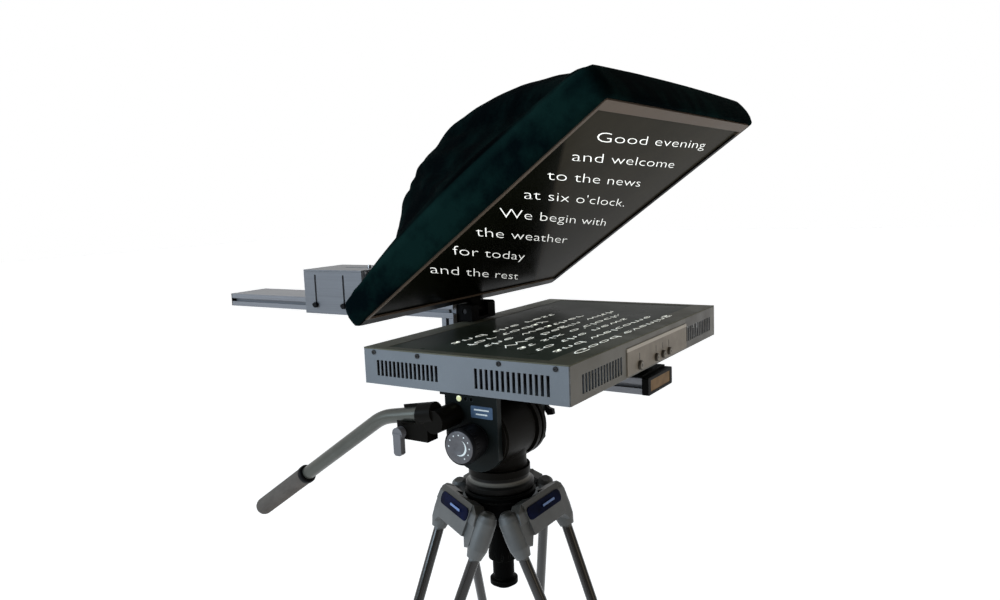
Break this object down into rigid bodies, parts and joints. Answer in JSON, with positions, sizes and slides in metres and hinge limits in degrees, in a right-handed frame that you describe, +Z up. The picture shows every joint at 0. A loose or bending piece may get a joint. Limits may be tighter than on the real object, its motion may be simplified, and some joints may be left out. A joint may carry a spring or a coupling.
{
  "type": "teleprompter",
  "caption": "Stand-mounted teleprompter: flat monitor under a sloped beam-splitter glass with a cloth hood, camera rail and riser, on a fluid head and tripod.",
  "frame": {"origin": "on the floor, on the pan axis of the head, at the centre of the footprint", "axes": "+X towards the reader, from the camera rail to the monitor's front; +Y to the left of that; +Z up along the pan axis"},
  "size_m": [1.084, 0.9446, 1.7188],
  "materials": {
    "monitor_sheet": "satin powder coat",
    "bezel_black": "satin powder coat",
    "screen_black": "glossy black",
    "panel_black": "matte",
    "board_green": "solder mask",
    "control_grey": "printed panel",
    "button_grey": "moulded",
    "socket_black": "moulded",
    "screw_black": "black oxide",
    "rail_grey": "grey anodised",
    "cap_black": "moulded",
    "bracket_black": "matt black",
    "frame_grey": "dark anodised",
    "mirror_glass": "half-mirrored",
    "hood_cloth": "napped cloth",
    "spring_steel": "drawn wire",
    "riser_grey": "grey anodised",
    "knob_black": "moulded",
    "steel": "turned steel",
    "head_grey": "charcoal paint",
    "head_black": "black paint",
    "vial": "clear liquid",
    "handle_tube": "satin anodised",
    "grip_foam": "foam",
    "wing_grey": "moulded",
    "crown_black": "charcoal casting",
    "leg_black": "casting and gloss tube",
    "lower_tube": "black anodised",
    "rubber": "moulded rubber"
  },
  "bodies": {
    "tripod": {"crown": "crown_black", "leg_pivots": "steel", "pan_base": "head_black"},
    "bowl_clamp": {"bowl_bolt": "crown_black"},
    "pan": {"head_body": "head_black", "tilt_axle": "steel"},
    "pan_lock": {"pan_lock_lever": "knob_black"},
    "drag_knob": {"tilt_drag_knob": "knob_black"},
    "tilt": {"head_platform": "head_grey", "level_vial": "vial"},
    "plate_release": {"plate_lever": "knob_black"},
    "handle": {"handle_clamp": "head_black", "pan_handle": "handle_tube", "handle_grip": "grip_foam"},
    "handle_lock": {"handle_wing": "wing_grey"},
    "prompter": {"quick_plate": "bracket_black", "base_rail": "rail_grey", "rail_nose_cap": "cap_black", "rail_end_caps": "cap_black", "monitor_bracket": "bracket_black", "monitor_case": "monitor_sheet", "monitor_bezel": "bezel_black", "screen_glass": "screen_black", "lcd_panel": "panel_black", "driver_board": "board_green", "control_panel": "control_grey", "input_panel": "socket_black", "case_screws": "screw_black", "riser_post": "rail_grey", "post_bolts": "screw_black", "camera_rail": "rail_grey", "hinge_block": "bracket_black", "hinge_pin": "screw_black"},
    "power": {"power_button": "button_grey"},
    "menu_1": {"menu_button_1": "button_grey"},
    "menu_2": {"menu_button_2": "button_grey"},
    "menu_3": {"menu_button_3": "button_grey"},
    "glass": {"glass_frame": "frame_grey", "beamsplitter_glass": "mirror_glass", "hood": "hood_cloth", "hood_bow": "spring_steel"},
    "carriage": {"riser_base": "riser_grey", "carriage_screws": "screw_black"},
    "riser": {"riser_top": "riser_grey"},
    "riser_lock_rear": {"riser_knob_rear": "knob_black"},
    "riser_lock_front": {"riser_knob_front": "knob_black"},
    "camera_clamp": {"camera_screw": "steel"},
    "leg_1": {"leg_1_upper": "leg_black"},
    "leg_1_clamp": {"leg_1_lock": "knob_black"},
    "leg_1_foot": {"leg_1_lower": "lower_tube", "foot_1": "rubber"},
    "leg_2": {"leg_2_upper": "leg_black"},
    "leg_2_clamp": {"leg_2_lock": "knob_black"},
    "leg_2_foot": {"leg_2_lower": "lower_tube", "foot_2": "rubber"},
    "leg_3": {"leg_3_upper": "leg_black"},
    "leg_3_clamp": {"leg_3_lock": "knob_black"},
    "leg_3_foot": {"leg_3_lower": "lower_tube", "foot_3": "rubber"}
  },
  "joints": [
    {"name": "bowl_clamp_turn", "type": "hinge", "parent": "tripod", "child": "bowl_clamp", "pos_m": [0, 0, 1.048], "axis": [0, 0, 1], "continuous": true},
    {"name": "pan_turn", "type": "hinge", "parent": "tripod", "child": "pan", "pos_m": [0, 0, 1.168], "axis": [0, 0, 1], "continuous": true},
    {"name": "pan_lock_turn", "type": "hinge", "parent": "pan", "child": "pan_lock", "pos_m": [-0.05, 0, 1.197], "axis": [-1, 0, 0], "range_deg": [-60, 60]},
    {"name": "drag_knob_turn", "type": "hinge", "parent": "pan", "child": "drag_knob", "pos_m": [0, -0.08, 1.241], "axis": [0, -1, 0], "range_deg": [-150, 150]},
    {"name": "tilt_turn", "type": "hinge", "parent": "pan", "child": "tilt", "pos_m": [0, 0, 1.241], "axis": [0, 1, 0], "range_deg": [-30, 30]},
    {"name": "plate_release_turn", "type": "hinge", "parent": "tilt", "child": "plate_release", "pos_m": [0.02, 0.078, 1.296], "axis": [0, 1, 0], "range_deg": [-20, 45]},
    {"name": "handle_angle", "type": "hinge", "parent": "tilt", "child": "handle", "pos_m": [-0.036, -0.08, 1.276], "axis": [0, 1, 0], "range_deg": [-15, 60]},
    {"name": "handle_lock_turn", "type": "hinge", "parent": "handle", "child": "handle_lock", "pos_m": [-0.096, -0.11, 1.254], "axis": [0, -1, 0], "range_deg": [-75, 75]},
    {"name": "plate_slide", "type": "slide", "parent": "tilt", "child": "prompter", "axis": [1, 0, 0], "range_m": [-0.03, 0.03]},
    {"name": "power_press", "type": "slide", "parent": "prompter", "child": "power", "axis": [-1, 0, 0], "range_m": [0, 0.0015], "stiffness_N_per_m": 300},
    {"name": "menu_1_press", "type": "slide", "parent": "prompter", "child": "menu_1", "axis": [-1, 0, 0], "range_m": [0, 0.0015], "stiffness_N_per_m": 300},
    {"name": "menu_2_press", "type": "slide", "parent": "prompter", "child": "menu_2", "axis": [-1, 0, 0], "range_m": [0, 0.0015], "stiffness_N_per_m": 300},
    {"name": "menu_3_press", "type": "slide", "parent": "prompter", "child": "menu_3", "axis": [-1, 0, 0], "range_m": [0, 0.0015], "stiffness_N_per_m": 300},
    {"name": "glass_tilt", "type": "hinge", "parent": "prompter", "child": "glass", "pos_m": [-0.03, 0, 1.424], "axis": [0, 1, 0], "range_deg": [-6, 33]},
    {"name": "carriage_slide", "type": "slide", "parent": "prompter", "child": "carriage", "axis": [1, 0, 0], "range_m": [-0.18, 0.06]},
    {"name": "riser_lift", "type": "slide", "parent": "carriage", "child": "riser", "axis": [0, 0, 1], "range_m": [0, 0.044]},
    {"name": "riser_rear_turn", "type": "hinge", "parent": "riser", "child": "riser_lock_rear", "pos_m": [-0.32, -0.046, 1.425], "axis": [0, -1, 0], "continuous": true},
    {"name": "riser_front_turn", "type": "hinge", "parent": "riser", "child": "riser_lock_front", "pos_m": [-0.257, -0.046, 1.425], "axis": [0, -1, 0], "continuous": true},
    {"name": "camera_screw_turn", "type": "hinge", "parent": "riser", "child": "camera_clamp", "pos_m": [-0.24, 0, 1.483], "axis": [0, 0, 1], "continuous": true},
    {"name": "leg_1_fold", "type": "hinge", "parent": "tripod", "child": "leg_1", "pos_m": [0.06, 0, 1.123], "axis": [0, 1, 0], "range_deg": [0, 20]},
    {"name": "leg_1_lock_flip", "type": "hinge", "parent": "leg_1", "child": "leg_1_clamp", "pos_m": [0.30509, 0, 0.57285], "axis": [0, 1, 0], "range_deg": [-80, 0]},
    {"name": "leg_1_extend", "type": "slide", "parent": "leg_1", "child": "leg_1_foot", "axis": [0.3795, 0, -0.9252], "range_m": [-0.36, 0.04]},
    {"name": "leg_2_fold", "type": "hinge", "parent": "tripod", "child": "leg_2", "pos_m": [-0.03, 0.05196, 1.123], "axis": [-0.866, -0.5, 0], "range_deg": [0, 20]},
    {"name": "leg_2_lock_flip", "type": "hinge", "parent": "leg_2", "child": "leg_2_clamp", "pos_m": [-0.15254, 0.26421, 0.57285], "axis": [-0.866, -0.5, 0], "range_deg": [-80, 0]},
    {"name": "leg_2_extend", "type": "slide", "parent": "leg_2", "child": "leg_2_foot", "axis": [-0.1897, 0.3286, -0.9252], "range_m": [-0.36, 0.04]},
    {"name": "leg_3_fold", "type": "hinge", "parent": "tripod", "child": "leg_3", "pos_m": [-0.03, -0.05196, 1.123], "axis": [0.866, -0.5, 0], "range_deg": [0, 20]},
    {"name": "leg_3_lock_flip", "type": "hinge", "parent": "leg_3", "child": "leg_3_clamp", "pos_m": [-0.15254, -0.26421, 0.57285], "axis": [0.866, -0.5, 0], "range_deg": [-80, 0]},
    {"name": "leg_3_extend", "type": "slide", "parent": "leg_3", "child": "leg_3_foot", "axis": [-0.1897, -0.3286, -0.9252], "range_m": [-0.36, 0.04]}
  ]
}
